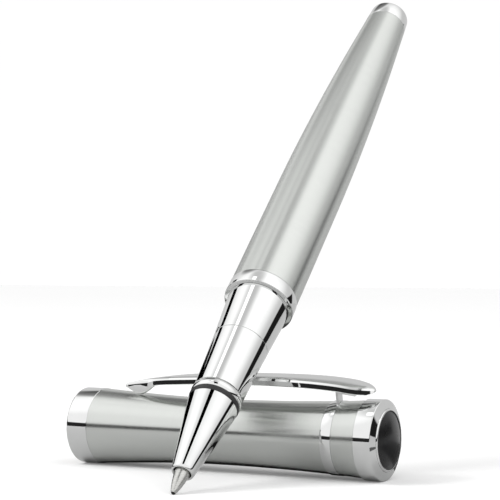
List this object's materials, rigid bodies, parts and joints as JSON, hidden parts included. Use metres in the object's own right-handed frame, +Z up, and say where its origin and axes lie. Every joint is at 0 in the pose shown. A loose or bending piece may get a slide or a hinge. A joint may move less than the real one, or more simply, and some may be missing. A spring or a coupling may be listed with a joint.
{
  "type": "rollerball pen",
  "caption": "Metal rollerball pen leaning on its ball in writing attitude over its own clip cap, which lies on its side; barrel unscrews to reach a sprung refill.",
  "frame": {"origin": "centre of the cap's mouth, where the pen goes in", "axes": "+X runs along the cap from its mouth to its crown, +Z is up from the surface, and the pen leans back towards +Y over the cap"},
  "size_m": [0.057, 0.0938, 0.085],
  "materials": {
    "chrome": "mirror polished",
    "brushed_steel": "fine circumferential brushing with clear lacquer",
    "brass": "turned",
    "nickel_silver": "drawn and burnished",
    "carbide": "ground",
    "black_stone": "high gloss dome",
    "black_plastic": "moulded",
    "natural_plastic": "moulded",
    "spring_steel": "drawn wire",
    "ink": "liquid",
    "seal_rubber": "soft"
  },
  "bodies": {
    "section": {"nose_cone": "chrome", "grip_bead": "chrome", "grip_sleeve": "chrome", "section_liner": "brass", "thread_spigot": "brass"},
    "thread_carrier": {"barrel_front_ring": "chrome"},
    "barrel": {"barrel_shell": "brushed_steel", "thread_insert": "brass", "barrel_end_ring": "chrome", "barrel_end_plug": "chrome", "spring_seat": "black_plastic", "refill_spring": "spring_steel"},
    "refill": {"refill_tip": "nickel_silver", "refill_holder": "natural_plastic", "ink_feed": "natural_plastic", "ink_wick": "natural_plastic", "refill_tube": "nickel_silver", "ink_fill": "ink", "refill_end_plug": "black_plastic"},
    "ball": {"writing_ball": "carbide"},
    "cap": {"cap_mouth_ring": "chrome", "cap_mouth_bush": "brass", "cap_tube": "brushed_steel", "cap_lining": "brass", "inner_cap": "black_plastic", "inner_cap_seal": "seal_rubber", "clip_ring": "chrome", "cap_core": "brass", "cap_upper_sleeve": "brushed_steel", "crown_ring": "chrome", "crown_screw": "brass", "crown_bezel": "chrome", "crown_cabochon": "black_stone"},
    "clip": {"clip_blade": "chrome", "clip_tab": "chrome"}
  },
  "joints": [
    {"name": "barrel_travel", "type": "slide", "parent": "section", "child": "thread_carrier", "axis": [-0.0354, 0.7427, 0.6687], "range_m": [0, 0.006]},
    {"name": "barrel_turn", "type": "hinge", "parent": "thread_carrier", "child": "barrel", "pos_m": [0.03112, 0.0307, 0.04724], "axis": [-0.0354, 0.7427, 0.6687], "range_deg": [0, 2160]},
    {"name": "refill_press", "type": "slide", "parent": "section", "child": "refill", "axis": [-0.0354, 0.7427, 0.6687], "range_m": [0, 0.0008], "stiffness_N_per_m": 250, "springref_m": -0.002, "deforming": ["refill_spring"]},
    {"name": "ball_spin", "type": "hinge", "parent": "refill", "child": "ball", "pos_m": [0.03394, -0.02845, -0.00603], "axis": [1, 0, 0], "continuous": true},
    {"name": "cap_slide", "type": "slide", "parent": "section", "child": "cap", "axis": [-1, 0, 0], "range_m": [-0.055, 0.055]},
    {"name": "clip_flex", "type": "hinge", "parent": "cap", "child": "clip", "pos_m": [0.04835, -0.00145, 0.00582], "axis": [0, 0.9703, 0.2419], "range_deg": [0, 1], "stiffness_Nm_per_rad": 1.5, "springref_deg": -1.72}
  ],
  "couplings": [
    {"joint": "barrel_turn", "follows": "barrel_travel", "rad_per_m": 6283.2}
  ]
}
